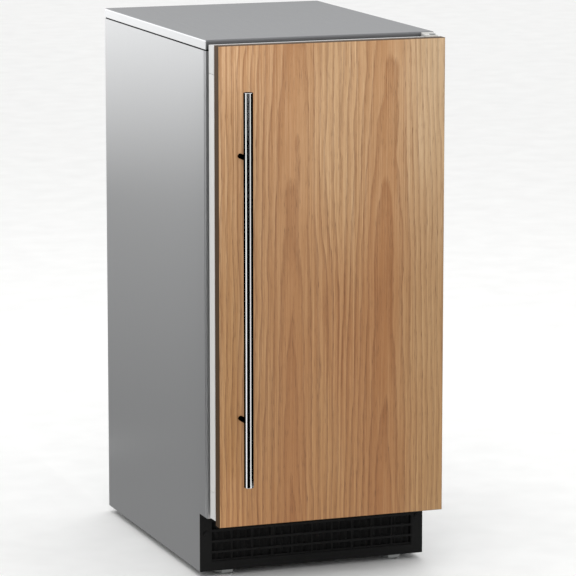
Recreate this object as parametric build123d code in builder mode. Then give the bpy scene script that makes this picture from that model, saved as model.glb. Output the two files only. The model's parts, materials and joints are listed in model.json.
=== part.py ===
from build123d import *
from math import cos, radians, sin
import os

# Built-in undercounter ice maker, all sizes in millimetres.
# X runs to the right across the front, Y runs back into the cabinet, Z is up.
# The origin is on the floor, midway between the two sides, midway between handle and back.
os.makedirs("parts", exist_ok=True)

# Overall sizes of the cabinet
cabinet_width = 378
cabinet_depth = 525
cabinet_height = 848
foot_height = 10
half_width = cabinet_width / 2
base_z = foot_height
top_z = base_z + cabinet_height

# Sheet thicknesses and the clearances that fits are worked out from
steel = 1.2
plastic = 2.5
body_gap = 0.3
pin_gap = 0.05
seat_gap = 0.1

# Door and its overlay panel, counted forward from the cabinet front
gasket_gap = 8
door_thickness = 24
panel_spacer = 2
panel_thickness = 19
door_side_margin = 2.5
door_half = half_width - door_side_margin
door_bottom_z = base_z + 98
door_top_z = top_z - 6.5
panel_bottom_z = base_z + 91
panel_top_z = top_z - 4.5
door_skin = 1
cap_thickness = 7.3
cap_leg = 43.5
cap_wall = 1.5
cap_gap = 0.6

# Bar handle
handle_diameter = 15
handle_length = 614
handle_centre_z = 479
handle_x = -152
handle_standoff = 39
post_diameter = 8
post_spacing = 410
handle_reach = (gasket_gap + door_thickness + panel_spacer + panel_thickness
                + handle_standoff + handle_diameter / 2)

# Y places, from the cabinet front back and forward
front_y = (handle_reach - cabinet_depth) / 2
screw_head = 2
rear_face_y = front_y + cabinet_depth - screw_head
door_back_y = front_y - gasket_gap
door_front_y = door_back_y - door_thickness
panel_back_y = door_front_y - panel_spacer
panel_front_y = panel_back_y - panel_thickness
handle_y = panel_front_y - handle_standoff

# Hinge axis of the door
hinge_x = half_width - 11
hinge_y = front_y - 20
hinge_pin_radius = 3
hinge_boss_radius = 9
hinge_leaf = 3
bushing_radius = 5
bushing_length = 16

# Toe kick
kick_setback = 36
kick_height = 94.5
kick_plate = 2
kick_top_z = base_z + kick_height
grille_rows = 4
grille_columns = 10
grille_row_pitch = 17.3
grille_bar = 3.6
grille_web = 2.2
grille_margin = 19
grille_low = 13
kick_screw_inset = 10
kick_screw_height = 61

# Top cover and the black seam under it
cover_flange = 14.8
seam = 2.4
cover_low_z = top_z - cover_flange
side_top_z = cover_low_z - seam

# Side panels
front_return = 20
groove_start = 5
groove_width = 3.5
groove_depth = 1.5
side_flange = 14

# Bin liner and the opening of the bin
bin_half = 157
bin_back_y = front_y + 470
bin_floor_z = base_z + 290
bin_ceiling_z = base_z + 802
opening_half = 150
opening_corner = 14
opening_low_z = bin_floor_z + 18
opening_high_z = bin_ceiling_z - 6
frame_depth = 6
frame_half = half_width - front_return - 0.5
frame_low_z = bin_floor_z + 2
frame_high_z = side_top_z - 0.8
compartment_top_z = bin_floor_z - 15

# Freezing plate and the refrigerant line that reaches it through the rear insulation
freeze_z = bin_ceiling_z - 60
freeze_sheet = 2
plate_hanger = 4
plate_hanger_half_y = 20
coil_radius = 4
coil_z = freeze_z + freeze_sheet + coil_radius + 0.05
line_radius = 3
line_hole_radius = line_radius + 1
compressor_x, compressor_y = 95, front_y + 380
line_riser_y = bin_back_y + 30


def span_block(x_low, x_high, y_low, y_high, z_low, z_high, mode=Mode.ADD):
    """Add or cut an upright block between its six limits."""
    with BuildSketch(Plane.XY.offset(z_low)) as footprint:
        with Locations(((x_low + x_high) / 2, (y_low + y_high) / 2)):
            Rectangle(x_high - x_low, y_high - y_low)
    extrude(footprint.sketch, amount=z_high - z_low, mode=mode)


def rod_along(direction, start, radius, length, mode=Mode.ADD):
    """Add or cut a round rod that starts at a point and runs along a direction."""
    with BuildSketch(Plane(origin=start, z_dir=direction)) as section:
        Circle(radius)
    extrude(section.sketch, amount=length, mode=mode)


def finish(piece, label):
    """Label a finished piece and write it to its own file."""
    piece.part.label = label
    export_step(piece.part, f"parts/{label}.step")


# ---- Door ----
door_liner_z = (door_bottom_z + cap_thickness, door_top_z - cap_thickness)
liner_sheet = 1.5
plug_half = opening_half - 4
plug_low_z = opening_low_z + 4
plug_high_z = opening_high_z - 4
plug_depth = 16
plug_wall = 2
plug_lip = 6
plug_corner = 12
gasket_half = half_width - 12
gasket_width = 14
gasket_round = 2
gasket_low_z = door_bottom_z + 18
gasket_high_z = door_top_z - 13.5
shell_low_z, shell_high_z = door_liner_z
leg_low_z = shell_low_z + cap_leg - cap_thickness
leg_high_z = shell_high_z - cap_leg + cap_thickness
neck_half = door_half - cap_wall
inner_half = neck_half - door_skin
liner_y = door_back_y - liner_sheet

# A folded steel skin, stepped in at both ends where the caps lap it and leave a fine seam
with BuildPart() as door_shell:
    span_block(-door_half, door_half, door_front_y, door_back_y, leg_low_z + cap_gap,
               leg_high_z - cap_gap)
    span_block(-neck_half, neck_half, door_front_y, door_back_y, shell_low_z, shell_high_z)
    span_block(-inner_half, inner_half, door_front_y + door_skin, door_back_y,
               shell_low_z, shell_high_z, Mode.SUBTRACT)
finish(door_shell, "door_shell")


def door_end_cap(label, plate_low, plate_high, leg_low, leg_high, bore_low):
    """Moulded cap with two side legs that lap the skin, and a bore for the hinge bushing."""
    with BuildPart() as cap:
        span_block(-door_half, door_half, door_front_y, door_back_y, plate_low, plate_high)
        for side in (-1, 1):
            outer = side * door_half
            inner = side * neck_half
            span_block(min(outer, inner), max(outer, inner), door_front_y, door_back_y,
                       leg_low, leg_high)
        rod_along((0, 0, 1), (hinge_x, hinge_y, bore_low), bushing_radius + seat_gap,
                  plate_high - plate_low, Mode.SUBTRACT)
    finish(cap, label)


door_end_cap("door_end_cap_top", shell_high_z, door_top_z, leg_high_z, shell_high_z, shell_high_z)
door_end_cap("door_end_cap_bottom", door_bottom_z, shell_low_z, shell_low_z, leg_low_z,
             door_bottom_z)

# Back sheet of the door with a hollow plug that enters the bin opening
with BuildPart() as door_liner:
    span_block(-inner_half, inner_half, liner_y, door_back_y, shell_low_z, shell_high_z)
    span_block(-plug_half, plug_half, liner_y, door_back_y + plug_depth, plug_low_z, plug_high_z)
    fillet(door_liner.edges().filter_by(Axis.Y).filter_by(
        lambda edge: abs(edge.center().X) < plug_half + 1), plug_corner)
    span_block(-plug_half + plug_wall, plug_half - plug_wall, liner_y,
               door_back_y + plug_depth - plug_wall, plug_low_z + plug_lip, plug_high_z - plug_lip,
               Mode.SUBTRACT)
finish(door_liner, "door_liner")

# Insulation that fills the skin in front of the liner, clear of the hinge bushings
with BuildPart() as door_foam:
    span_block(-inner_half, inner_half, door_front_y + door_skin, liner_y,
               shell_low_z, shell_high_z)
    for low in (shell_low_z, shell_high_z - bushing_length):
        rod_along((0, 0, 1), (hinge_x, hinge_y, low), bushing_radius + seat_gap,
                  bushing_length, Mode.SUBTRACT)
finish(door_foam, "door_foam")

# Magnetic gasket, a soft frame that closes the gap to the cabinet
with BuildPart() as door_gasket:
    span_block(-gasket_half, gasket_half, door_back_y, front_y - body_gap,
               gasket_low_z, gasket_high_z)
    span_block(-gasket_half + gasket_width, gasket_half - gasket_width, door_back_y,
               front_y - body_gap, gasket_low_z + gasket_width, gasket_high_z - gasket_width,
               Mode.SUBTRACT)
    fillet(door_gasket.faces().sort_by(Axis.Y)[-1].edges(), gasket_round)
finish(door_gasket, "door_gasket")

post_zs = (handle_centre_z - post_spacing / 2, handle_centre_z + post_spacing / 2)
handle_screw_radius = 2
handle_screw_head_radius = 4.5
handle_screw_head = 3.3
handle_screw_grip = 12
post_sink = 3.5
panel_edge = 1.6
mount_inset = 6
bar_chamfer = 0.6

# Oak overlay panel with eased edges and counterbored screw holes from behind
with BuildPart() as wood_panel:
    span_block(-door_half, door_half, panel_front_y, panel_back_y, panel_bottom_z, panel_top_z)
    fillet(wood_panel.faces().sort_by(Axis.Y)[0].edges(), panel_edge)
    for post_z in post_zs:
        rod_along((0, 1, 0), (handle_x, panel_front_y, post_z), handle_screw_radius + seat_gap,
                  panel_thickness, Mode.SUBTRACT)
        rod_along((0, 1, 0), (handle_x, panel_back_y - handle_screw_head - seat_gap, post_z),
                  handle_screw_head_radius + seat_gap, handle_screw_head + seat_gap, Mode.SUBTRACT)
finish(wood_panel, "wood_panel")

# Thin black plate that carries the panel on the door skin
with BuildPart() as panel_mount_plate:
    span_block(-door_half + mount_inset, door_half - mount_inset, panel_back_y, door_front_y,
               door_bottom_z + mount_inset, door_top_z - mount_inset)
finish(panel_mount_plate, "panel_mount_plate")

# Round bar with small chamfers at its ends and blind holes for the posts
bar_low_z = handle_centre_z - handle_length / 2
post_end_y = handle_y + handle_diameter / 2 - post_sink
with BuildPart() as handle_bar:
    rod_along((0, 0, 1), (handle_x, handle_y, bar_low_z), handle_diameter / 2, handle_length)
    chamfer(handle_bar.edges().filter_by(GeomType.CIRCLE), bar_chamfer)
    for post_z in post_zs:
        rod_along((0, 1, 0), (handle_x, post_end_y - seat_gap, post_z),
                  post_diameter / 2 + seat_gap, handle_diameter, Mode.SUBTRACT)
finish(handle_bar, "handle_bar")

with BuildPart() as handle_posts:
    for post_z in post_zs:
        rod_along((0, 1, 0), (handle_x, post_end_y, post_z), post_diameter / 2,
                  panel_front_y - post_end_y)
        rod_along((0, -1, 0), (handle_x, panel_front_y, post_z), handle_screw_radius + seat_gap,
                  handle_screw_grip + 1, Mode.SUBTRACT)
finish(handle_posts, "handle_posts")

with BuildPart() as handle_screws:
    for post_z in post_zs:
        rod_along((0, -1, 0), (handle_x, panel_back_y, post_z), handle_screw_head_radius,
                  handle_screw_head)
        rod_along((0, -1, 0), (handle_x, panel_back_y, post_z), handle_screw_radius,
                  panel_thickness + handle_screw_grip)
finish(handle_screws, "handle_screws")

# Plastic bushings in the end caps, each running on a hinge pin
bushing_lows = (door_bottom_z, door_top_z - bushing_length)
with BuildPart() as hinge_bushings:
    for low in bushing_lows:
        rod_along((0, 0, 1), (hinge_x, hinge_y, low), bushing_radius, bushing_length)
        rod_along((0, 0, 1), (hinge_x, hinge_y, low), hinge_pin_radius + pin_gap,
                  bushing_length, Mode.SUBTRACT)
finish(hinge_bushings, "hinge_bushings")


# ---- Cabinet ----
inner_width = half_width - steel
rear_sheet_y = rear_face_y - steel
groove_end = groove_start + groove_width
groove_slope = 0.75


def side_panel(label, side):
    """Folded side: front return, a pressed groove behind it, top and rear flanges."""
    skin = side * half_width
    inside = side * inner_width
    skin_low = side * (half_width - groove_depth)
    inside_low = side * (inner_width - groove_depth)
    lip = side * (half_width - front_return)
    rear_lip = side * (half_width - side_flange)
    outline = [
        (lip, front_y), (skin, front_y), (skin, front_y + groove_start),
        (skin_low, front_y + groove_start + groove_slope),
        (skin_low, front_y + groove_end - groove_slope), (skin, front_y + groove_end),
        (skin, rear_sheet_y), (rear_lip, rear_sheet_y), (rear_lip, rear_sheet_y - steel),
        (inside, rear_sheet_y - steel), (inside, front_y + groove_end + groove_slope),
        (inside_low, front_y + groove_end), (inside_low, front_y + groove_start),
        (inside, front_y + groove_start - groove_slope), (inside, front_y + steel),
        (lip, front_y + steel)]
    with BuildPart() as panel:
        with BuildSketch(Plane.XY.offset(base_z)) as section:
            with BuildLine():
                Polyline(*outline, close=True)
            make_face()
        extrude(section.sketch, amount=side_top_z - base_z)
        span_block(min(rear_lip, inside), max(rear_lip, inside), front_y + frame_depth,
                   rear_sheet_y - steel, side_top_z - steel, side_top_z)
        span_block(-half_width, half_width, front_y, front_y + kick_setback + kick_plate,
                   base_z, kick_top_z, Mode.SUBTRACT)
        fillet(panel.edges().filter_by(Axis.Z).filter_by(
            lambda edge: abs(abs(edge.center().X) - half_width) < 0.01
            and abs(edge.center().Y - front_y) < 0.01), steel)
    finish(panel, label)


side_panel("side_panel_left", -1)
side_panel("side_panel_right", 1)

cover_edge = 3
# Pressed lid with a turned-down flange all round
with BuildPart() as top_cover:
    span_block(-half_width, half_width, front_y, rear_face_y, cover_low_z, top_z)
    fillet(top_cover.faces().sort_by(Axis.Z)[-1].edges(), cover_edge)
    span_block(-inner_width, inner_width, front_y + steel, rear_face_y - steel, cover_low_z,
               top_z - steel - 1, Mode.SUBTRACT)
finish(top_cover, "top_cover")

seal_inset = 1
seal_width = 10
# Black strip between lid and sides
with BuildPart() as top_seal:
    span_block(-half_width + seal_inset, half_width - seal_inset, front_y + seal_inset,
               rear_sheet_y - seal_inset, side_top_z, cover_low_z)
    span_block(-half_width + seal_width, half_width - seal_width, front_y + seal_width,
               rear_sheet_y - seal_width, side_top_z, cover_low_z, Mode.SUBTRACT)
finish(top_seal, "top_seal")

vent_half = 150
vent_low_z = base_z + 30
vent_high_z = base_z + 265
cover_lap = 12
screw_radius = 2
rear_screw_places = [(side * (vent_half + cover_lap / 2), z)
                     for side in (-1, 1) for z in (vent_low_z + 20, vent_high_z - 20)]
# Rear sheet with an opening for the service cover
with BuildPart() as rear_panel:
    span_block(-half_width + 0.5, half_width - 0.5, rear_sheet_y, rear_face_y, base_z,
               side_top_z)
    span_block(-vent_half, vent_half, rear_sheet_y, rear_face_y, vent_low_z, vent_high_z,
               Mode.SUBTRACT)
    for screw_x, screw_z in rear_screw_places:
        rod_along((0, -1, 0), (screw_x, rear_face_y, screw_z), screw_radius + seat_gap, steel,
                  Mode.SUBTRACT)
finish(rear_panel, "rear_panel")

# Louvred cover behind that opening, with cut-outs for water, drain and mains
louvre_pitch = 14
louvre_slot = 5
louvre_count = 9
louvre_half = 100
fitting_hole_radius = 11
inlet_x, inlet_z = -120, base_z + 60
drain_x, drain_z = 0, base_z + 60
mains_x, mains_z = 120, base_z + 110
with BuildPart() as rear_service_cover:
    span_block(-vent_half - cover_lap, vent_half + cover_lap, rear_sheet_y - steel, rear_sheet_y,
               vent_low_z - cover_lap, vent_high_z + cover_lap)
    with BuildSketch(Plane((0, rear_sheet_y, vent_high_z - 70), x_dir=(1, 0, 0),
                           z_dir=(0, -1, 0))) as slots:
        with GridLocations(0, louvre_pitch, 1, louvre_count):
            SlotOverall(2 * louvre_half, louvre_slot)
    extrude(slots.sketch, amount=steel, mode=Mode.SUBTRACT)
    for hole_x, hole_z in ((inlet_x, inlet_z), (drain_x, drain_z), (mains_x, mains_z)):
        rod_along((0, -1, 0), (hole_x, rear_sheet_y, hole_z), fitting_hole_radius, steel,
                  Mode.SUBTRACT)
    for screw_x, screw_z in rear_screw_places:
        rod_along((0, -1, 0), (screw_x, rear_sheet_y, screw_z), screw_radius + seat_gap, steel,
                  Mode.SUBTRACT)
finish(rear_service_cover, "rear_service_cover")

foot_x = half_width - 47
foot_front_y = front_y + 57
foot_rear_y = rear_face_y - 57
foot_places = {"foot_front_left": (-foot_x, foot_front_y), "foot_front_right": (foot_x, foot_front_y),
               "foot_rear_left": (-foot_x, foot_rear_y), "foot_rear_right": (foot_x, foot_rear_y)}
pan_sheet = 1.5
pan_flange = 18
stem_radius = 5
kick_tab_width = 16
kick_screw_places = [(side * (half_width - kick_screw_inset), base_z + kick_screw_height)
                     for side in (-1, 1)]
insert_radius = 9
insert_length = 34
# Floor tray of the cabinet with an upturned rim and holes for the foot inserts
with BuildPart() as base_pan:
    span_block(-inner_width, inner_width, front_y + kick_setback + kick_plate,
               rear_sheet_y - steel, base_z, base_z + pan_flange)
    span_block(-inner_width + pan_sheet, inner_width - pan_sheet,
               front_y + kick_setback + kick_plate + pan_sheet, rear_sheet_y - steel - pan_sheet,
               base_z + pan_sheet, base_z + pan_flange, Mode.SUBTRACT)
    for x, y in foot_places.values():
        rod_along((0, 0, 1), (x, y, base_z), insert_radius + seat_gap, pan_sheet, Mode.SUBTRACT)
    tab_y = front_y + kick_setback + kick_plate
    for tab_x, tab_z in kick_screw_places:
        span_block(tab_x - kick_tab_width / 2, tab_x + kick_tab_width / 2, tab_y,
                   tab_y + pan_sheet, base_z + pan_sheet, tab_z + kick_tab_width / 2)
        rod_along((0, 1, 0), (tab_x, tab_y, tab_z), screw_radius + seat_gap, pan_sheet,
                  Mode.SUBTRACT)
finish(base_pan, "base_pan")

with BuildPart() as foot_inserts:
    for x, y in foot_places.values():
        rod_along((0, 0, 1), (x, y, base_z), insert_radius, insert_length)
        rod_along((0, 0, 1), (x, y, base_z + pan_sheet), insert_radius + 4, 2)
        rod_along((0, 0, 1), (x, y, base_z), stem_radius + pin_gap, insert_length, Mode.SUBTRACT)
finish(foot_inserts, "foot_inserts")

foot_hex_radius = 18.5
foot_pad_radius = 10
foot_cone = 4.5
stem_length = 30
for foot_name, (x, y) in foot_places.items():
    with BuildPart() as foot:
        with BuildSketch(Plane.XY.offset(foot_cone)) as hexagon:
            with Locations((x, y)):
                RegularPolygon(foot_hex_radius, 6)
        extrude(hexagon.sketch, amount=foot_height - body_gap - foot_cone)
        with BuildSketch(Plane.XY) as pad:
            with Locations((x, y)):
                RegularPolygon(foot_pad_radius, 6)
        loft([pad.sketch.face(), hexagon.sketch.face()])
        rod_along((0, 0, 1), (x, y, foot_height - body_gap), stem_radius, stem_length)
    finish(foot, foot_name)

liner_half = bin_half + plastic
# White ring round the bin opening
with BuildPart() as front_frame:
    span_block(-frame_half, frame_half, front_y, front_y + frame_depth, frame_low_z, frame_high_z)
    span_block(-opening_half, opening_half, front_y, front_y + frame_depth, opening_low_z,
               opening_high_z, Mode.SUBTRACT)
    fillet(front_frame.edges().filter_by(Axis.Y).filter_by(
        lambda edge: abs(edge.center().X) < opening_half + 1), opening_corner)
finish(front_frame, "front_frame")

drain_radius = 9
drain_hole = (drain_x, bin_back_y - 60)
# Seamless storage bin, open at the front, with a drain hole in its floor
with BuildPart() as bin_liner:
    span_block(-liner_half, liner_half, front_y + frame_depth, bin_back_y + plastic,
               bin_floor_z - plastic, bin_ceiling_z + plastic)
    span_block(-bin_half, bin_half, front_y + frame_depth, bin_back_y, bin_floor_z,
               bin_ceiling_z, Mode.SUBTRACT)
    rod_along((0, 0, 1), (*drain_hole, bin_floor_z - plastic), drain_radius + seat_gap, plastic,
              Mode.SUBTRACT)
    rod_along((0, 1, 0), (compressor_x, bin_back_y, coil_z), line_hole_radius, plastic,
              Mode.SUBTRACT)
finish(bin_liner, "bin_liner")

# Painted sheet below the opening, with a flange that closes the top of the toe kick
with BuildPart() as lower_front_panel:
    span_block(-frame_half, frame_half, front_y, front_y + steel, kick_top_z, frame_low_z - 0.5)
    span_block(-frame_half, frame_half, front_y, front_y + kick_setback, kick_top_z,
               kick_top_z + steel)
finish(lower_front_panel, "lower_front_panel")

foam_margin = groove_depth + steel + 0.3
# Insulation round the bin
with BuildPart() as foam_insulation:
    span_block(-half_width + foam_margin, half_width - foam_margin, front_y + frame_depth,
               rear_sheet_y - steel, compartment_top_z, side_top_z - steel)
    span_block(-liner_half, liner_half, front_y + frame_depth, bin_back_y + plastic,
               bin_floor_z - plastic, bin_ceiling_z + plastic, Mode.SUBTRACT)
    rod_along((0, 0, 1), (*drain_hole, compartment_top_z), drain_radius + 2,
              bin_floor_z - compartment_top_z, Mode.SUBTRACT)
    rod_along((0, 0, 1), (compressor_x, line_riser_y, compartment_top_z), 2 * line_hole_radius,
              coil_z + 2 * line_hole_radius - compartment_top_z, Mode.SUBTRACT)
    rod_along((0, 1, 0), (compressor_x, bin_back_y + plastic, coil_z), 2 * line_hole_radius,
              line_riser_y - bin_back_y - plastic, Mode.SUBTRACT)
finish(foam_insulation, "foam_insulation")

kick_y = front_y + kick_setback
field_half = half_width - grille_margin
field_low_z = base_z + grille_low - grille_bar / 2
field_high_z = base_z + grille_low + grille_rows * grille_row_pitch + grille_bar / 2
column_pitch = 2 * field_half / grille_columns
# Black louvred plate across the toe kick, its cross webs set back behind the bars
with BuildPart() as kick_grille:
    span_block(-half_width, half_width, kick_y, kick_y + kick_plate, base_z, kick_top_z)
    span_block(-field_half, field_half, kick_y, kick_y + kick_plate, field_low_z, field_high_z,
               Mode.SUBTRACT)
    for row in range(grille_rows + 1):
        bar_z = base_z + grille_low + row * grille_row_pitch
        span_block(-field_half, field_half, kick_y, kick_y + kick_plate, bar_z - grille_bar / 2,
                   bar_z + grille_bar / 2)
    for column in range(grille_columns + 1):
        web_x = -field_half + column * column_pitch
        span_block(web_x - grille_web / 2, web_x + grille_web / 2, kick_y + kick_plate / 2,
                   kick_y + kick_plate, field_low_z, field_high_z)
    for screw_x, screw_z in kick_screw_places:
        rod_along((0, 1, 0), (screw_x, kick_y, screw_z), screw_radius + seat_gap,
                  kick_plate, Mode.SUBTRACT)
finish(kick_grille, "kick_grille")

screw_head_radius = 4
screw_grip = 10
# Pan-head screws of the toe kick and the rear service cover
with BuildPart() as cabinet_screws:
    for screw_x, screw_z in kick_screw_places:
        rod_along((0, 1, 0), (screw_x, kick_y - screw_head, screw_z), screw_head_radius,
                  screw_head)
        rod_along((0, 1, 0), (screw_x, kick_y - screw_head, screw_z), screw_radius, screw_grip)
    for screw_x, screw_z in rear_screw_places:
        rod_along((0, -1, 0), (screw_x, rear_face_y + screw_head, screw_z), screw_head_radius,
                  screw_head)
        rod_along((0, -1, 0), (screw_x, rear_face_y + screw_head, screw_z), screw_radius,
                  screw_grip)
    fillet(cabinet_screws.edges().filter_by(GeomType.CIRCLE).filter_by(
        lambda edge: abs(edge.radius - screw_head_radius) < 0.01).group_by(Axis.Y)[-1], 0.8)
finish(cabinet_screws, "cabinet_screws")

leaf_left_x = half_width - 22
leaf_right_x = hinge_x + hinge_boss_radius
pin_head = 1.5
pin_head_radius = 5


def hinge_bracket(label, leg_low, leg_high, leaf_low):
    """Angle with one leg on the cabinet front and a rounded leaf over or under the door."""
    with BuildPart() as bracket:
        span_block(leaf_left_x, leaf_right_x, front_y - hinge_leaf, front_y, leg_low, leg_high)
        with BuildSketch(Plane.XY.offset(leaf_low)) as leaf:
            with Locations((hinge_x, hinge_y)):
                Circle(hinge_boss_radius)
            with Locations(((leaf_left_x + leaf_right_x) / 2, (hinge_y + front_y) / 2)):
                Rectangle(leaf_right_x - leaf_left_x, front_y - hinge_y)
        extrude(leaf.sketch, amount=hinge_leaf)
        rod_along((0, 0, 1), (hinge_x, hinge_y, leaf_low), hinge_pin_radius + pin_gap, hinge_leaf,
                  Mode.SUBTRACT)
    finish(bracket, label)


leaf_gap = 0.5
top_leaf_z = door_top_z + leaf_gap
bottom_leaf_z = door_bottom_z - leaf_gap - hinge_leaf
hinge_bracket("hinge_bracket_top", cover_low_z + 1, top_z - 1, top_leaf_z)
hinge_bracket("hinge_bracket_bottom", bottom_leaf_z, gasket_low_z - 2, bottom_leaf_z)

# Headed pins, dropped through the upper leaf and pushed up through the lower one
pin_length = hinge_leaf + leaf_gap + bushing_length - 1
with BuildPart() as hinge_pins:
    top_seat_z = top_leaf_z + hinge_leaf
    rod_along((0, 0, 1), (hinge_x, hinge_y, top_seat_z), pin_head_radius, pin_head)
    rod_along((0, 0, -1), (hinge_x, hinge_y, top_seat_z), hinge_pin_radius, pin_length)
    rod_along((0, 0, -1), (hinge_x, hinge_y, bottom_leaf_z), pin_head_radius, pin_head)
    rod_along((0, 0, 1), (hinge_x, hinge_y, bottom_leaf_z), hinge_pin_radius, pin_length)
finish(hinge_pins, "hinge_pins")

drain_wall = 2
drain_bend = 26
rear_fitting_y = rear_face_y + 1
# Drain elbow from the bin floor to the outlet at the rear
with BuildPart() as drain_line:
    with BuildLine() as drain_path:
        FilletPolyline((*drain_hole, bin_floor_z), (*drain_hole, drain_z),
                       (drain_x, rear_fitting_y, drain_z), radius=drain_bend)
    with BuildSketch(Plane(origin=(*drain_hole, bin_floor_z), z_dir=(0, 0, -1))):
        Circle(drain_radius)
        Circle(drain_radius - drain_wall, mode=Mode.SUBTRACT)
    sweep(path=drain_path.line)
finish(drain_line, "drain_line")


# ---- Ice making, hung from the ceiling of the bin ----
shroud_half = 140
shroud_wall = 2.5
shroud_front_y = front_y + 90
shroud_back_y = front_y + 450
shroud_low_z = bin_ceiling_z - 212
curtain_pin_radius = 2.5
curtain_pin_z = bin_ceiling_z - 104
curtain_y = shroud_front_y + 8
curtain_thickness = 2.5
curtain_length = 96
curtain_half = shroud_half - shroud_wall - 3

# Housing open below, with a mouth in front that the curtain hangs across
with BuildPart() as freezer_shroud:
    span_block(-shroud_half, shroud_half, shroud_front_y, shroud_back_y, shroud_low_z,
               bin_ceiling_z)
    span_block(-shroud_half + shroud_wall, shroud_half - shroud_wall,
               shroud_front_y + shroud_wall, shroud_back_y - shroud_wall, shroud_low_z,
               bin_ceiling_z, Mode.SUBTRACT)
    span_block(-shroud_half + shroud_wall, shroud_half - shroud_wall, shroud_front_y,
               shroud_front_y + shroud_wall, shroud_low_z, curtain_pin_z + 6, Mode.SUBTRACT)
    rod_along((1, 0, 0), (-shroud_half, curtain_y, curtain_pin_z), curtain_pin_radius + pin_gap,
              2 * shroud_half, Mode.SUBTRACT)
    rod_along((0, 1, 0), (compressor_x, shroud_back_y - shroud_wall, coil_z), line_hole_radius,
              shroud_wall, Mode.SUBTRACT)
finish(freezer_shroud, "freezer_shroud")

# Soft flap on a rod, pushed open by the falling ice
with BuildPart() as ice_curtain:
    span_block(-curtain_half, curtain_half, curtain_y - curtain_thickness / 2,
               curtain_y + curtain_thickness / 2, curtain_pin_z - curtain_length, curtain_pin_z)
    rod_along((1, 0, 0), (-shroud_half + 0.5, curtain_y, curtain_pin_z), curtain_pin_radius,
              2 * shroud_half - 1)
finish(ice_curtain, "ice_curtain")

cup_rows = 5
cup_columns = 6
cup_pitch = 36
cup_radius = 16
cup_wall = 1.2
cup_depth = 26
freeze_y = shroud_back_y - 185
freeze_half_x = cup_columns * cup_pitch / 2
freeze_half_y = cup_rows * cup_pitch / 2
# Copper plate with inverted cups below it and two hangers up to the ceiling
with BuildPart() as evaporator_plate:
    span_block(-freeze_half_x, freeze_half_x, freeze_y - freeze_half_y, freeze_y + freeze_half_y,
               freeze_z, freeze_z + freeze_sheet)
    with BuildSketch(Plane.XY.offset(freeze_z - cup_depth)) as cups:
        with Locations((0, freeze_y)):
            with GridLocations(cup_pitch, cup_pitch, cup_columns, cup_rows):
                Circle(cup_radius)
                Circle(cup_radius - cup_wall, mode=Mode.SUBTRACT)
    extrude(cups.sketch, amount=cup_depth)
    for side in (-1, 1):
        edge_x = side * (freeze_half_x - plate_hanger)
        span_block(edge_x - plate_hanger / 2, edge_x + plate_hanger / 2,
                   freeze_y - plate_hanger_half_y, freeze_y + plate_hanger_half_y, freeze_z,
                   bin_ceiling_z)
finish(evaporator_plate, "evaporator_plate")

coil_rows = 5
coil_half_x = freeze_half_x - 40
coil_pitch = 36
# Refrigerant tube laid to and fro across the plate
with BuildPart() as evaporator_coil:
    corners = []
    for row in range(coil_rows):
        row_y = freeze_y + (row - (coil_rows - 1) / 2) * coil_pitch
        ends = (-coil_half_x, coil_half_x) if row % 2 == 0 else (coil_half_x, -coil_half_x)
        corners += [(ends[0], row_y, coil_z), (ends[1], row_y, coil_z)]
    with BuildLine() as coil_path:
        FilletPolyline(*corners, radius=coil_pitch / 2 - 1)
    with BuildSketch(Plane(origin=corners[0], z_dir=(1, 0, 0))):
        Circle(coil_radius)
    sweep(path=coil_path.line)
finish(evaporator_coil, "evaporator_coil")

slide_half = 118
slide_rear = (freeze_y + freeze_half_y + 8, freeze_z - cup_depth - 12)
slide_front = (curtain_y + 8, freeze_z - cup_depth - 46)
slide_sheet = 2.5
slide_bars = 13
slide_bar_width = 6
# Sloping rack of bars that leads the ice forward to the curtain
with BuildPart() as cube_slide:
    with BuildSketch(Plane.YZ.offset(-slide_half)) as slope:
        with BuildLine():
            Polyline(slide_rear, slide_front, (slide_front[0], slide_front[1] - slide_sheet),
                     (slide_rear[0], slide_rear[1] - slide_sheet), close=True)
        make_face()
    extrude(slope.sketch, amount=2 * slide_half)
    slot_width = (2 * slide_half - slide_bars * slide_bar_width) / (slide_bars - 1)
    for gap in range(slide_bars - 1):
        slot_x = -slide_half + slide_bar_width + gap * (slide_bar_width + slot_width)
        span_block(slot_x, slot_x + slot_width, slide_front[0] + 14, slide_rear[0] - 14,
                   slide_front[1] - 20, slide_rear[1] + 20, Mode.SUBTRACT)
    for side in (-1, 1):
        span_block(min(side * slide_half, side * (shroud_half - shroud_wall)),
                   max(side * slide_half, side * (shroud_half - shroud_wall)),
                   slide_rear[0] - 14, slide_rear[0], slide_rear[1] - slide_sheet, slide_rear[1])
finish(cube_slide, "cube_slide")

tub_half = shroud_half - shroud_wall
tub_wall = 2.5
tub_front_y = curtain_y + 14
tub_back_y = shroud_back_y - shroud_wall
tub_low_z = shroud_low_z
tub_height = 44
# Open water tub under the spray bar
with BuildPart() as water_reservoir:
    span_block(-tub_half, tub_half, tub_front_y, tub_back_y, tub_low_z, tub_low_z + tub_height)
    span_block(-tub_half + tub_wall, tub_half - tub_wall, tub_front_y + tub_wall,
               tub_back_y - tub_wall, tub_low_z + tub_wall, tub_low_z + tub_height, Mode.SUBTRACT)
finish(water_reservoir, "water_reservoir")

spray_low_z = tub_low_z + tub_height
spray_thickness = 10
nozzle_radius = 3
nozzle_height = 5
# Manifold resting on the tub, with one nozzle under each cup
with BuildPart() as spray_platform:
    span_block(-tub_half, tub_half, freeze_y - freeze_half_y, freeze_y + freeze_half_y - 20,
               spray_low_z, spray_low_z + spray_thickness)
    with BuildSketch(Plane.XY.offset(spray_low_z + spray_thickness)) as nozzles:
        with Locations((0, freeze_y - 10)):
            with GridLocations(cup_pitch, cup_pitch, cup_columns, cup_rows - 1):
                Circle(nozzle_radius)
                Circle(nozzle_radius / 2, mode=Mode.SUBTRACT)
    extrude(nozzles.sketch, amount=nozzle_height)
finish(spray_platform, "spray_platform")

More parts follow.
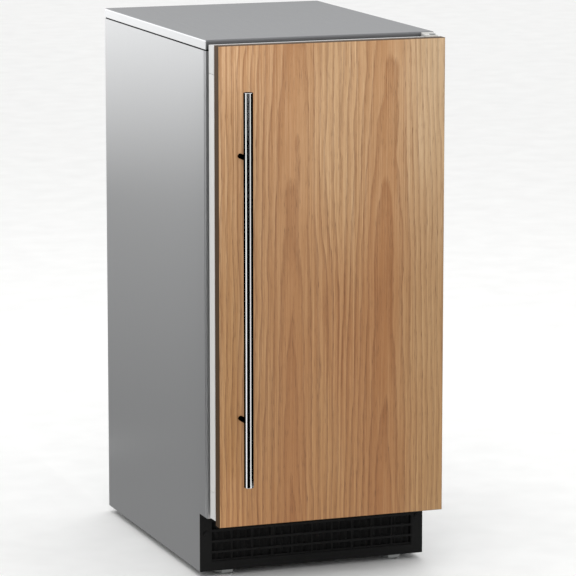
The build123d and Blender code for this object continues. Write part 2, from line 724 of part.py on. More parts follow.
pump_x = -100
pump_y = tub_back_y - 32
pump_radius = 22
pump_height = 42
pump_bridge = 3
pump_shaft_radius = 2.5
pump_shaft_bore = 25
impeller_radius = 15
impeller_hub_radius = 7.5
impeller_height = 10
vane_count = 6
vane_thickness = 2
pump_foot_z = spray_low_z
impeller_z = tub_low_z + tub_wall + 6
# Pump motor on a bridge across the tub's rear corner
with BuildPart() as pump_motor:
    rod_along((0, 0, 1), (pump_x, pump_y, pump_foot_z + pump_bridge), pump_radius, pump_height)
    span_block(-tub_half, pump_x + pump_radius, pump_y - pump_radius, tub_back_y, pump_foot_z,
               pump_foot_z + pump_bridge)
    rod_along((0, 0, 1), (pump_x, pump_y, pump_foot_z), pump_shaft_radius + pin_gap,
              pump_shaft_bore, Mode.SUBTRACT)
finish(pump_motor, "pump_motor")

# Impeller in the water, on its shaft up into the motor
with BuildPart() as pump_impeller:
    rod_along((0, 0, 1), (pump_x, pump_y, impeller_z), impeller_hub_radius, impeller_height)
    for vane_index in range(vane_count):
        with BuildSketch(Plane.XY.offset(impeller_z)) as vane:
            with Locations((pump_x, pump_y)):
                Rectangle(2 * impeller_radius, vane_thickness,
                          rotation=vane_index * 180 / vane_count)
        extrude(vane.sketch, amount=impeller_height)
    rod_along((0, 0, 1), (pump_x, pump_y, impeller_z), pump_shaft_radius,
              pump_foot_z + pump_shaft_bore - 1 - impeller_z)
finish(pump_impeller, "pump_impeller")

# ---- Scoop on the left wall of the bin ----
scoop_width = 70
scoop_depth = 34
scoop_length = 110
scoop_wall = 2.5
scoop_low_z = bin_floor_z + 45
scoop_y = front_y + 220
scoop_left_x = -bin_half + 14
scoop_corner = 12
scoop_handle_round = 5
hang_hole_drop = 16
scoop_handle_radius = 9
scoop_handle_length = 90
scoop_top_z = scoop_low_z + scoop_length
hanger_plate = 3
hang_hole_radius = 5.5

# Moulded scoop, open to the right, with a round handle above it
with BuildPart() as ice_scoop:
    span_block(scoop_left_x, scoop_left_x + scoop_depth, scoop_y - scoop_width / 2,
               scoop_y + scoop_width / 2, scoop_low_z, scoop_top_z)
    fillet(ice_scoop.edges().filter_by(Axis.Z).sort_by(Axis.X)[:2], scoop_corner)
    span_block(scoop_left_x + scoop_wall, scoop_left_x + scoop_depth,
               scoop_y - scoop_width / 2 + scoop_wall, scoop_y + scoop_width / 2 - scoop_wall,
               scoop_low_z, scoop_top_z - scoop_wall, Mode.SUBTRACT)
    rod_along((0, 0, 1), (scoop_left_x + scoop_depth / 2, scoop_y, scoop_top_z),
              scoop_handle_radius, scoop_handle_length)
    fillet(ice_scoop.faces().sort_by(Axis.Z)[-1].edges(), scoop_handle_round)
    rod_along((1, 0, 0), (scoop_left_x, scoop_y, scoop_top_z + scoop_handle_length - hang_hole_drop),
              hang_hole_radius, scoop_depth, Mode.SUBTRACT)
finish(ice_scoop, "ice_scoop")

hanger_half = 30
hanger_ledge = 3
rail_low_z = scoop_top_z + 48
rail_high_z = scoop_top_z + scoop_handle_length
rail_width = 6
# Wall plate with a ledge under the scoop and rails that the handle slides up between
with BuildPart() as scoop_hanger:
    ledge_z = scoop_low_z - body_gap
    span_block(-bin_half, -bin_half + hanger_plate, scoop_y - hanger_half, scoop_y + hanger_half,
               ledge_z - hanger_ledge, rail_high_z)
    span_block(-bin_half, scoop_left_x + scoop_depth, scoop_y - hanger_half,
               scoop_y + hanger_half, ledge_z - hanger_ledge, ledge_z)
    for side in (-1, 1):
        rail_y = scoop_y + side * (scoop_handle_radius + body_gap + rail_width / 2)
        span_block(-bin_half + hanger_plate, scoop_left_x + scoop_depth,
                   rail_y - rail_width / 2, rail_y + rail_width / 2, rail_low_z, rail_high_z)
finish(scoop_hanger, "scoop_hanger")

lamp_half = 30
lamp_depth = 20
lamp_height = 9
lamp_back_y = shroud_front_y - 14
lamp_round = 3
# Small lamp on the bin ceiling, in front of the shroud
with BuildPart() as bin_lamp:
    span_block(-lamp_half, lamp_half, lamp_back_y - lamp_depth, lamp_back_y,
               bin_ceiling_z - lamp_height, bin_ceiling_z)
    fillet(bin_lamp.faces().sort_by(Axis.Z)[0].edges(), lamp_round)
finish(bin_lamp, "bin_lamp")

# ---- Controls, in a header just inside the opening ----
header_y = front_y + 12
header_depth = 15
header_low_z = opening_high_z - 36
header_wall = 2
rocker_width = 26
rocker_height = 14
rocker_x = -60
rocker_z = (header_low_z + bin_ceiling_z) / 2
rocker_axis_y = header_y + 6
trunnion_radius = 1.5
trunnion_reach = 3
ear_gap = 0.5
ear_thickness = 3
ear_back_y = header_y + 10
ear_half_height = 5
indicator_radius = 3
indicator_depth = 6
indicator_proud = 0.6
indicator_places = [(x, rocker_z) for x in (20, 50, 80)]

# Header across the bin behind the opening, hollow towards the bin
with BuildPart() as control_panel:
    span_block(-bin_half, bin_half, header_y, header_y + header_depth, header_low_z,
               bin_ceiling_z)
    span_block(-bin_half + header_wall, bin_half - header_wall, header_y + header_wall,
               header_y + header_depth, header_low_z + header_wall, bin_ceiling_z, Mode.SUBTRACT)
    span_block(rocker_x - rocker_width / 2 - body_gap, rocker_x + rocker_width / 2 + body_gap,
               header_y, header_y + header_wall, rocker_z - rocker_height / 2 - 2 * body_gap,
               rocker_z + rocker_height / 2 + 2 * body_gap, Mode.SUBTRACT)
    for indicator_x, indicator_z in indicator_places:
        rod_along((0, 1, 0), (indicator_x, header_y, indicator_z), indicator_radius, header_wall,
                  Mode.SUBTRACT)
    for side in (-1, 1):
        ear_x = rocker_x + side * (rocker_width / 2 + ear_gap + ear_thickness / 2)
        span_block(ear_x - ear_thickness / 2, ear_x + ear_thickness / 2, header_y + header_wall,
                   ear_back_y, rocker_z - ear_half_height, rocker_z + ear_half_height)
    rod_along((1, 0, 0), (rocker_x - rocker_width, rocker_axis_y, rocker_z),
              trunnion_radius + pin_gap, 2 * rocker_width, Mode.SUBTRACT)
finish(control_panel, "control_panel")

# Three-position rocker, level at rest, on its own trunnions
rocker_face = 1.5
rocker_back_y = header_y + 8
rocker_back_half = 4
with BuildPart() as power_switch:
    with BuildSketch(Plane.YZ.offset(rocker_x - rocker_width / 2)) as rocker:
        with BuildLine():
            Polyline((header_y - rocker_face, rocker_z - rocker_height / 2 + 1),
                     (header_y - 0.5, rocker_z),
                     (header_y - rocker_face, rocker_z + rocker_height / 2 - 1),
                     (rocker_back_y, rocker_z + rocker_back_half),
                     (rocker_back_y, rocker_z - rocker_back_half), close=True)
        make_face()
    extrude(rocker.sketch, amount=rocker_width)
    rod_along((1, 0, 0), (rocker_x - rocker_width / 2 - trunnion_reach, rocker_axis_y, rocker_z),
              trunnion_radius, rocker_width + 2 * trunnion_reach)
finish(power_switch, "power_switch")

with BuildPart() as indicator_lamps:
    for indicator_x, indicator_z in indicator_places:
        rod_along((0, 1, 0), (indicator_x, header_y - indicator_proud, indicator_z),
                  indicator_radius, indicator_depth)
finish(indicator_lamps, "indicator_lamps")

# ---- Machine compartment under the bin ----
floor_z = base_z + pan_sheet
compressor_radius = 62
compressor_height = 165
compressor_foot = 3
compressor_half_x = 72
compressor_half_y = 62
compressor_round = 24
grommet_radius = 9
grommet_height = 12
grommet_places = [(compressor_x + dx, compressor_y + dy) for dx in (-62, 62) for dy in (-52, 52)]

with BuildPart() as compressor_grommets:
    for x, y in grommet_places:
        rod_along((0, 0, 1), (x, y, floor_z), grommet_radius, grommet_height)
finish(compressor_grommets, "compressor_grommets")

# Welded pot with rounded ends on a foot plate
with BuildPart() as compressor:
    span_block(compressor_x - compressor_half_x, compressor_x + compressor_half_x,
               compressor_y - compressor_half_y, compressor_y + compressor_half_y,
               floor_z + grommet_height, floor_z + grommet_height + compressor_foot)
    shell_z = floor_z + grommet_height + compressor_foot
    rod_along((0, 0, 1), (compressor_x, compressor_y, shell_z), compressor_radius,
              compressor_height)
    fillet(compressor.faces().sort_by(Axis.Z)[-1].edges(), compressor_round)
finish(compressor, "compressor")

condenser_y = front_y + 76
condenser_depth = 36
condenser_x_low, condenser_x_high = -150, 40
condenser_high_z = base_z + 222
fin_pitch = 10
fin_thickness = 1
fin_low_z = floor_z + 36
tube_radius = 5
tube_pitch = 25
tube_reach = 8
tube_z = int(floor_z) + 50
end_plate = 2
# Finned coil behind the toe kick: plate fins with tubes through them
with BuildPart() as condenser:
    fin_x = condenser_x_low
    while fin_x <= condenser_x_high:
        span_block(fin_x, fin_x + fin_thickness, condenser_y, condenser_y + condenser_depth,
                   fin_low_z, condenser_high_z)
        fin_x += fin_pitch
    for row_z in range(tube_z, int(condenser_high_z) - tube_radius, tube_pitch):
        rod_along((1, 0, 0), (condenser_x_low - tube_reach, condenser_y + condenser_depth / 2,
                              row_z), tube_radius,
                  condenser_x_high - condenser_x_low + 2 * tube_reach)
    for end_x in (condenser_x_low - end_plate, condenser_x_high):
        span_block(end_x, end_x + end_plate, condenser_y - end_plate,
                   condenser_y + condenser_depth, floor_z, condenser_high_z + 4)
finish(condenser, "condenser")

fan_x = (condenser_x_low + condenser_x_high) / 2
fan_z = base_z + 118
fan_radius = 82
shroud_ring = 3
shroud_depth = 30
shroud_plate = 2
shroud_bar = 16
fan_plate_y = condenser_y + condenser_depth
fan_tip_gap = 4
motor_radius = 26
motor_length = 38
fan_shaft_radius = 3
motor_y = fan_plate_y + shroud_depth
motor_bore = 20
fan_y = fan_plate_y + 8
# Square plate with a round throat, and a cross bar that carries the motor
with BuildPart() as fan_shroud:
    throat_radius = fan_radius + fan_tip_gap
    span_block(condenser_x_low - end_plate, condenser_x_high + end_plate, fan_plate_y,
               fan_plate_y + shroud_plate, floor_z, condenser_high_z)
    rod_along((0, 1, 0), (fan_x, fan_plate_y, fan_z), throat_radius + shroud_ring, shroud_depth)
    rod_along((0, 1, 0), (fan_x, fan_plate_y, fan_z), throat_radius, shroud_depth, Mode.SUBTRACT)
    span_block(fan_x - shroud_bar / 2, fan_x + shroud_bar / 2, motor_y - shroud_plate, motor_y,
               fan_z - throat_radius - 1, fan_z + throat_radius + 1)
    rod_along((0, 1, 0), (fan_x, fan_plate_y, fan_z), fan_shaft_radius + 1, shroud_depth,
              Mode.SUBTRACT)
finish(fan_shroud, "fan_shroud")

with BuildPart() as fan_motor:
    rod_along((0, 1, 0), (fan_x, motor_y, fan_z), motor_radius, motor_length)
    rod_along((0, 1, 0), (fan_x, motor_y, fan_z), fan_shaft_radius + pin_gap, motor_bore,
              Mode.SUBTRACT)
finish(fan_motor, "fan_motor")

blade_count = 5
blade_tilt = 30
blade_chord = 30
blade_corner = 10
hub_radius = 18
hub_length = 18
# Five-bladed axial fan on the motor shaft
with BuildPart() as fan_blade:
    rod_along((0, 1, 0), (fan_x, fan_y - 4, fan_z), hub_radius, hub_length)
    for blade in range(blade_count):
        turn = radians(blade * 360 / blade_count)
        tilt = radians(blade_tilt)
        spoke = Plane(origin=(fan_x, fan_y + 5, fan_z), x_dir=(cos(turn), 0, sin(turn)),
                      z_dir=(-sin(tilt) * sin(turn), -cos(tilt), sin(tilt) * cos(turn)))
        with BuildSketch(spoke) as outline:
            with Locations((fan_radius / 2 + 3, 0)):
                RectangleRounded(fan_radius - 12, blade_chord, blade_corner)
        extrude(outline.sketch, amount=1, both=True)
    rod_along((0, 1, 0), (fan_x, fan_y, fan_z), fan_shaft_radius,
              motor_y + motor_bore - 2 - fan_y)
finish(fan_blade, "fan_blade")

# Copper lines: suction from the evaporator down to the compressor, discharge to the condenser
line_bend = 12
discharge_y = compressor_y - compressor_radius - 60
condenser_end = (condenser_x_high + 8, condenser_y + condenser_depth / 2, tube_z)
line_floor_x = condenser_end[0] + 14
compressor_top_z = floor_z + grommet_height + compressor_foot + compressor_height
line_turn_z = compressor_top_z + 40
coil_end = corners[-1]


def bent_line(route, start_direction):
    """Solid round line that follows a route with rounded corners."""
    with BuildLine() as path:
        FilletPolyline(*route, radius=line_bend)
    with BuildSketch(Plane(origin=route[0], z_dir=start_direction)) as section:
        Circle(line_radius)
    sweep(section.sketch, path=path.line)


with BuildPart() as refrigerant_lines:
    bent_line([(compressor_x, compressor_y, compressor_top_z),
               (compressor_x, compressor_y, line_turn_z),
               (compressor_x, line_riser_y, line_turn_z), (compressor_x, line_riser_y, coil_z),
               (compressor_x, coil_end[1], coil_z), (coil_end[0], coil_end[1], coil_z)],
              (0, 0, 1))
    bent_line([(compressor_x, compressor_y - compressor_radius, tube_z),
               (compressor_x, discharge_y, tube_z), (line_floor_x, discharge_y, tube_z),
               (line_floor_x, condenser_end[1], tube_z), condenser_end], (0, -1, 0))
finish(refrigerant_lines, "refrigerant_lines")

drier_radius = 12
drier_length = 90
drier_round = 5
drier_rise = 40
with BuildPart() as filter_drier:
    rod_along((0, 0, 1), (condenser_end[0] + drier_radius, condenser_end[1], tube_z + drier_rise),
              drier_radius, drier_length)
    fillet(filter_drier.edges().filter_by(GeomType.CIRCLE), drier_round)
finish(filter_drier, "filter_drier")

valve_half = 20
valve_depth = 50
inlet_radius = 10
inlet_bore_radius = 6
inlet_bore_depth = 24
solenoid_radius = 16
solenoid_height = 30
inlet_reach = rear_fitting_y - rear_sheet_y + steel
# Solenoid valve on the service cover, its threaded stub reaching out through the cover
with BuildPart() as water_inlet_valve:
    valve_back_y = rear_sheet_y - steel
    span_block(inlet_x - valve_half, inlet_x + valve_half, valve_back_y - valve_depth,
               valve_back_y, inlet_z - valve_half, inlet_z + valve_half)
    rod_along((0, 0, 1), (inlet_x, valve_back_y - valve_depth / 2, inlet_z + valve_half),
              solenoid_radius, solenoid_height)
    rod_along((0, 1, 0), (inlet_x, valve_back_y, inlet_z), inlet_radius, inlet_reach)
    rod_along((0, -1, 0), (inlet_x, rear_fitting_y, inlet_z), inlet_bore_radius,
              inlet_bore_depth, Mode.SUBTRACT)
finish(water_inlet_valve, "water_inlet_valve")

gland_flange_radius = 15
gland_depth = 14
gland_radius = 10
cord_radius = 4
# Mains gland in the service cover
with BuildPart() as mains_gland:
    rod_along((0, -1, 0), (mains_x, rear_sheet_y - steel, mains_z), gland_flange_radius,
              gland_depth)
    rod_along((0, 1, 0), (mains_x, rear_sheet_y - steel, mains_z), gland_radius, inlet_reach)
    rod_along((0, -1, 0), (mains_x, rear_fitting_y, mains_z), cord_radius,
              inlet_reach + gland_depth, Mode.SUBTRACT)
finish(mains_gland, "mains_gland")

box_x = (80, 176)
box_y = (front_y + 76, front_y + 200)
box_height = 130
box_lid = 1.5
box_lid_depth = 14
# Electrical box on the floor tray, with a lapped lid
with BuildPart() as control_box:
    span_block(*box_x, *box_y, floor_z, floor_z + box_height)
    span_block(box_x[0] - box_lid, box_x[1] + box_lid, box_y[0] - box_lid, box_y[1] + box_lid,
               floor_z + box_height - box_lid_depth, floor_z + box_height + box_lid)
finish(control_box, "control_box")
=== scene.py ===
import bmesh
import bpy
import json
from math import pi, radians
from mathutils import Matrix, Vector


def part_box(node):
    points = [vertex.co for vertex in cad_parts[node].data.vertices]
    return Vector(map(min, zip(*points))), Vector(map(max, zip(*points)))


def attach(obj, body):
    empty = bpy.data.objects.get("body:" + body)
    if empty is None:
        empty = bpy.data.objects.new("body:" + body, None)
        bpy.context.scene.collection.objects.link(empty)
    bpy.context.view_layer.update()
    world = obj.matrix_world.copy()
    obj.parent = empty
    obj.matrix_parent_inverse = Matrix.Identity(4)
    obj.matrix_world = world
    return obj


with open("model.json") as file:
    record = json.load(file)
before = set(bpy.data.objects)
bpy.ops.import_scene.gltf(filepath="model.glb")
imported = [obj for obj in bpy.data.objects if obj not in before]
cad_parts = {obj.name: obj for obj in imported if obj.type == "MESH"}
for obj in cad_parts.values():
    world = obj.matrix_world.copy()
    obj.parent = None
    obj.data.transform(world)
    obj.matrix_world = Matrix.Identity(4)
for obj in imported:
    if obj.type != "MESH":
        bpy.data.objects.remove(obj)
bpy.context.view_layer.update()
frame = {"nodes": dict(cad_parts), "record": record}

print("stage: frame loaded")

# lengths that come from the frame
mm = 0.001
panelLow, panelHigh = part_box("wood_panel")
sideLow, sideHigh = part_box("side_panel_left")
handleLow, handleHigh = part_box("handle_bar")
kickLow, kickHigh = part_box("kick_grille")
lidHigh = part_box("top_cover")[1]
panelMiddle = [(a + b) / 2 for a, b in zip(panelLow, panelHigh)]


def linear(hexColour):
    # sRGB hex to the linear values that the shaders take
    values = [int(hexColour[i:i + 2], 16) / 255 for i in (1, 3, 5)]
    return [v / 12.92 if v <= 0.04045 else ((v + 0.055) / 1.055) ** 2.4 for v in values] + [1]


def addNode(material, kind, links=(), **settings):
    # one node with its settings, then a link or a value for each input, by name or number
    node = material.node_tree.nodes.new(kind)
    for key, value in settings.items():
        setattr(node, key, value)
    for key, value in links:
        if isinstance(value, bpy.types.NodeSocket):
            material.node_tree.links.new(value, node.inputs[key])
        else:
            node.inputs[key].default_value = value
    return node


def startMaterial(name, colour, roughness, metallic=0.0):
    material = bpy.data.materials.new(name)
    material.use_nodes = True
    shader = material.node_tree.nodes["Principled BSDF"]
    shader.inputs["Base Color"].default_value = linear(colour)
    shader.inputs["Roughness"].default_value = roughness
    shader.inputs["Metallic"].default_value = metallic
    return material, shader


def link(material, fromSocket, toSocket):
    material.node_tree.links.new(fromSocket, toSocket)


def objectPattern(material, size=(1, 1, 1), location=(0, 0, 0)):
    # object coordinates in units of a size, so that the features of a pattern have that size
    place = addNode(material, "ShaderNodeTexCoord")
    return addNode(material, "ShaderNodeMapping", [
        ("Vector", place.outputs["Object"]), ("Scale", [1 / length for length in size]),
        ("Location", location)]).outputs["Vector"]


def objectAxes(material):
    return addNode(material, "ShaderNodeSeparateXYZ", [("Vector", objectPattern(material))]).outputs


def ramp(material, factor, stops):
    # a colour ramp, whose stops are hex colours or grey levels
    node = addNode(material, "ShaderNodeValToRGB", [("Fac", factor)])
    elements = node.color_ramp.elements
    while len(elements) < len(stops):
        elements.new(0.5)
    for element, (position, colour) in zip(elements, stops):
        element.position = position
        element.color = linear(colour) if isinstance(colour, str) else (colour, colour, colour, 1)
    return node.outputs["Color"]


def addBump(material, shader, height, distance, strength=0.3):
    bump = addNode(material, "ShaderNodeBump", [("Height", height), ("Distance", distance),
                                                ("Strength", strength)])
    link(material, bump.outputs["Normal"], shader.inputs["Normal"])


def mixColour(material, factor, first, second, blend="MIX"):
    # input 0 is the share of the second colour; the colours are inputs 6 and 7 and output 2
    return addNode(material, "ShaderNodeMix", [(0, factor), (6, first), (7, second)],
                   data_type="RGBA", blend_type=blend).outputs[2]


oak = {
    # colours of a ring, of the fibres and of the slow drift, and how much of each shows
    "pale": "#e0b98d", "middle": "#cc9f70", "line": "#8a5629", "pore": "#7a5430",
    "fibres": [(0.37, "#8c6137"), (0.5, "#c9a177"), (0.63, "#f5dcbb")], "fibreShare": 0.46,
    "drift": [(0.36, "#ba7e4a"), (0.64, "#d8b991")], "driftShare": 0.25,
    "heart": "#b57a43", "heartShare": 0.46, "heartWidth": 52 * mm,
    "sapwood": "#d0b694", "sapwoodShare": 0.3, "sapwoodX": 96 * mm, "sapwoodFade": 70 * mm,
    # the next ramp is painted light: it lightens the panel towards its top, as the light from above
    # falls on it
    "paintedTopLight": [(0.05, "#dbc9ac"), (0.5, "#e4d8c5"), (0.9, "#ffffff")],
    "rightwards": [(0.0, "#ffffff"), (0.1, "#fdfaf6"), (0.24, "#efe8e0"), (0.68, "#ece6de"),
                   (0.86, "#f2f4f4")],
    # the edge colour and band below are painted shade on the panel's four edges
    "edge": "#4e3a26", "edgeBand": 0.9 * mm,
    # the two leaves of veneer, and how they were cut from their log
    "leftHeartX": -66 * mm, "rightHeartX": 86 * mm, "joinX": 14 * mm, "leafShift": 110 * mm,
    "heartDepth": 19 * mm, "lean": -2.7, "ringWidth": 9.5 * mm, "ringUneven": 1.1,
    "ringDetail": 2.0, "ringDetailScale": 0.35, "wander": 30 * mm,
    # sizes of the features across, into and along the grain
    "bendSize": (62.5 * mm, 62.5 * mm, 312.5 * mm),
    "streakSize": (1.9 * mm, 1.9 * mm, 260 * mm), "streakRoughness": 0.8,
    "poreSize": (1 * mm, 1 * mm, 18 * mm), "poreDepth": 0.2 * mm,
    "poreLimits": [(0.56, 0.0), (0.7, 1.0)], "poreCrowd": [(0.2, 0.2), (0.85, 0.6)],
    "driftSize": (111.11 * mm, 111.11 * mm, 500 * mm), "driftPlace": (0.9, 0, 0.5),
    # satin lacquer on the face, and next to none on the edge band, which is painted shade and kept
    # dull so that it stays dark
    "roughness": 0.45, "sheen": 0.5, "edgeSheen": 0.04, "lacquer": 0.12,
    "lacquerRoughness": 0.35}


def lacqueredOak():
    # plain-sawn oak veneer under satin lacquer: arched rings, fine fibres, short dark pores
    material, shader = startMaterial("lacqueredOak", oak["middle"], oak["roughness"])
    axes = objectAxes(material)
    # two leaves of veneer side by side, each with the heart of its arches in its middle
    rightLeaf = addNode(material, "ShaderNodeMath", [
        (0, axes["X"]), (1, oak["joinX"])], operation="GREATER_THAN")
    heart = addNode(material, "ShaderNodeMapRange", [
        ("Value", rightLeaf.outputs[0]), ("To Min", -oak["leftHeartX"]),
        ("To Max", -oak["rightHeartX"])])
    leafX = addNode(material, "ShaderNodeMath", [
        (0, axes["X"]), (1, heart.outputs[0])], operation="ADD")
    # each leaf comes from another height of the log
    leafZ = addNode(material, "ShaderNodeMath", [
        (0, rightLeaf.outputs[0]), (1, oak["leafShift"]), (2, axes["Z"])],
        operation="MULTIPLY_ADD")
    leaf = addNode(material, "ShaderNodeCombineXYZ", [
        ("X", leafX.outputs[0]), ("Y", axes["Y"]), ("Z", leafZ.outputs[0])])
    # the log leans a little from the sheet, so its rings meet the face in long arches
    log = addNode(material, "ShaderNodeMapping", [
        ("Vector", leaf.outputs[0]),
        ("Location", (0, oak["heartDepth"] - panelLow[1], -panelMiddle[2]))])
    leaned = addNode(material, "ShaderNodeMapping", [
        ("Vector", log.outputs["Vector"]), ("Rotation", (radians(oak["lean"]), 0, 0))])
    bends = addNode(material, "ShaderNodeTexNoise", [
        ("Vector", objectPattern(material, oak["bendSize"])), ("Scale", 1.0),
        ("Detail", 3.0)])
    centred = addNode(material, "ShaderNodeVectorMath", [
        (0, bends.outputs["Color"]), (1, (0.5, 0.5, 0.5))], operation="SUBTRACT")
    wander = addNode(material, "ShaderNodeVectorMath", [
        (0, centred.outputs[0]), (1, (oak["wander"], oak["wander"], 0))], operation="MULTIPLY")
    ringPlace = addNode(material, "ShaderNodeVectorMath", [
        (0, leaned.outputs["Vector"]), (1, wander.outputs[0])], operation="ADD")
    # a wave of scale 1 has a ring every 2 pi / 20 metres
    rings = addNode(material, "ShaderNodeTexWave", [
        ("Vector", ringPlace.outputs[0]), ("Scale", 2 * pi / (20 * oak["ringWidth"])),
        ("Distortion", oak["ringUneven"]), ("Detail", oak["ringDetail"]),
        ("Detail Scale", oak["ringDetailScale"])],
        wave_type="RINGS", rings_direction="Z", wave_profile="SAW")
    # fibres: streaks a few millimetres wide, drawn coarser than real ones so that they show
    streaks = addNode(material, "ShaderNodeTexNoise", [
        ("Vector", objectPattern(material, oak["streakSize"])), ("Scale", 1.0),
        ("Detail", 5.0), ("Roughness", oak["streakRoughness"])])
    # pores: short dark dashes along the grain, crowded into the dark side of each ring
    pores = addNode(material, "ShaderNodeTexNoise", [
        ("Vector", objectPattern(material, oak["poreSize"])), ("Scale", 1.0),
        ("Detail", 2.0)])
    ringTone = ramp(material, rings.outputs["Fac"], [
        (0.0, oak["pale"]), (0.45, oak["middle"]), (0.88, oak["line"]), (1.0, oak["pale"])])
    streakTone = ramp(material, streaks.outputs["Fac"], oak["fibres"])
    base = mixColour(material, oak["fibreShare"], ringTone, streakTone)
    # slow drift between warm orange and paler wood
    drift = addNode(material, "ShaderNodeTexNoise", [
        ("Vector", objectPattern(material, oak["driftSize"], oak["driftPlace"])),
        ("Scale", 1.0), ("Detail", 2.0)])
    driftTone = ramp(material, drift.outputs["Fac"], oak["drift"])
    drifted = mixColour(material, oak["driftShare"], base, driftTone)
    # the wood is browner over each heart than in the straight grain beside it
    fromHeart = addNode(material, "ShaderNodeMath", [(0, leafX.outputs[0])], operation="ABSOLUTE")
    heartTone = addNode(material, "ShaderNodeMapRange", [
        ("Value", fromHeart.outputs[0]), ("From Max", oak["heartWidth"]),
        ("To Min", oak["heartShare"]), ("To Max", 0.0)])
    hearted = mixColour(material, heartTone.outputs[0], drifted, linear(oak["heart"]))
    # the outermost straight grain at the right is the palest
    sapwood = addNode(material, "ShaderNodeMapRange", [
        ("Value", axes["X"]), ("From Min", oak["sapwoodX"]),
        ("From Max", oak["sapwoodX"] + oak["sapwoodFade"]), ("To Max", oak["sapwoodShare"])])
    blended = mixColour(material, sapwood.outputs[0], hearted, linear(oak["sapwood"]))
    poreMask = ramp(material, pores.outputs["Fac"], oak["poreLimits"])
    crowd = ramp(material, rings.outputs["Fac"], oak["poreCrowd"])
    fleck = addNode(material, "ShaderNodeMath", [(0, poreMask), (1, crowd)],
                    operation="MULTIPLY")
    coloured = mixColour(material, fleck.outputs[0], blended, linear(oak["pore"]))
    # painted light: the wood is painted darker towards the bottom and lighter towards the top, as
    # the light from above falls on it
    height = addNode(material, "ShaderNodeMapRange", [
        ("Value", axes["Z"]), ("From Min", panelLow[2]), ("From Max", panelHigh[2])])
    topLightTone = ramp(material, height.outputs[0], oak["paintedTopLight"])
    topLit = mixColour(material, 1.0, coloured, topLightTone, "MULTIPLY")
    # the left leaf is warm, the straight grain at the right is paler and greyer
    across = addNode(material, "ShaderNodeMapRange", [
        ("Value", axes["X"]), ("From Min", panelLow[0]), ("From Max", panelHigh[0])])
    leafTone = ramp(material, across.outputs[0], oak["rightwards"])
    toned = mixColour(material, 1.0, topLit, leafTone, "MULTIPLY")
    # painted shade: the four edges carry a dark brown band, painted as if the panel's edge faces
    # lay in shadow
    fromMiddle = addNode(material, "ShaderNodeMath", [(0, axes["X"])], operation="ABSOLUTE")
    fromCentre = addNode(material, "ShaderNodeMath", [
        (0, axes["Z"]), (1, panelMiddle[2])], operation="SUBTRACT")
    upOrDown = addNode(material, "ShaderNodeMath", [(0, fromCentre.outputs[0])],
                       operation="ABSOLUTE")
    # shortened, so that it reaches half the width at the two ends
    levelled = addNode(material, "ShaderNodeMath", [
        (0, upOrDown.outputs[0]), (1, (panelHigh[2] - panelLow[2]) / 2 - panelHigh[0])],
        operation="SUBTRACT")
    furthest = addNode(material, "ShaderNodeMath", [
        (0, fromMiddle.outputs[0]), (1, levelled.outputs[0])], operation="MAXIMUM")
    shadeBand = addNode(material, "ShaderNodeMapRange", [
        ("Value", furthest.outputs[0]), ("From Min", panelHigh[0] - oak["edgeBand"]),
        ("From Max", panelHigh[0] - oak["edgeBand"] / 3)])
    edged = mixColour(material, shadeBand.outputs[0], toned, linear(oak["edge"]))
    link(material, edged, shader.inputs["Base Color"])
    # the lacquer stops at the painted-shade band, so the band stays dull and dark
    for socket, onFace, onBand in (("Specular IOR Level", oak["sheen"], oak["edgeSheen"]),
                                   ("Coat Weight", oak["lacquer"], 0.0)):
        gloss = addNode(material, "ShaderNodeMapRange", [
            ("Value", shadeBand.outputs[0]), ("To Min", onFace), ("To Max", onBand)])
        link(material, gloss.outputs[0], shader.inputs[socket])
    addBump(material, shader, pores.outputs["Fac"], oak["poreDepth"])
    shader.inputs["Coat Roughness"].default_value = oak["lacquerRoughness"]
    return material


brush = {"grit": 0.5 * mm, "length": 60 * mm, "depth": 0.05 * mm, "strength": 0.25,
         "smoother": 0.06, "rougher": 0.08}


def brushedSteel(name, colour, roughness, along="z"):
    # stainless sheet, brushed one way: fine streaks that stretch the highlights, drawn
    # coarser than a real grit so that they show
    material, shader = startMaterial(name, colour, roughness, 1.0)
    grit, length = brush["grit"], brush["length"]
    size = (grit, grit, length) if along == "z" else (grit, length, grit)
    streaks = addNode(material, "ShaderNodeTexNoise", [
        ("Vector", objectPattern(material, size)), ("Scale", 1.0), ("Detail", 3.0)])
    rough = addNode(material, "ShaderNodeMapRange", [
        ("Value", streaks.outputs["Fac"]), ("To Min", roughness - brush["smoother"]),
        ("To Max", roughness + brush["rougher"])])
    link(material, rough.outputs[0], shader.inputs["Roughness"])
    addBump(material, shader, streaks.outputs["Fac"], brush["depth"], brush["strength"])
    return material


skin = {"cloud": 83.33 * mm, "uneven": 0.05, "smoothest": 0.02, "shade": 0.9}


def moulded(name, colour, roughness, grain=0.6 * mm, depth=0.04 * mm, metallic=0.0, coat=0.0,
            specular=0.5):
    # moulded, sprayed or cast surface: a faint even texture with slightly uneven gloss
    material, shader = startMaterial(name, colour, roughness, metallic)
    texture = addNode(material, "ShaderNodeTexNoise", [
        ("Vector", objectPattern(material, (grain,) * 3)), ("Scale", 1.0), ("Detail", 2.0)])
    cloud = addNode(material, "ShaderNodeTexNoise", [
        ("Vector", objectPattern(material, (skin["cloud"],) * 3)), ("Scale", 1.0),
        ("Detail", 2.0)])
    rough = addNode(material, "ShaderNodeMapRange", [
        ("Value", cloud.outputs["Fac"]),
        ("To Min", max(roughness - skin["uneven"], skin["smoothest"])),
        ("To Max", roughness + skin["uneven"])])
    link(material, rough.outputs[0], shader.inputs["Roughness"])
    shade = mixColour(material, cloud.outputs["Fac"], linear(colour),
                      [value * skin["shade"] for value in linear(colour)[:3]] + [1])
    link(material, shade, shader.inputs["Base Color"])
    addBump(material, shader, texture.outputs["Fac"], depth)
    shader.inputs["Coat Weight"].default_value = coat
    shader.inputs["Specular IOR Level"].default_value = specular
    return material


clear = {"colour": "#dfe8ee", "roughness": 0.18, "transmission": 0.75, "ior": 1.58,
         "cloud": 25 * mm, "smoothest": 0.14, "roughest": 0.24}


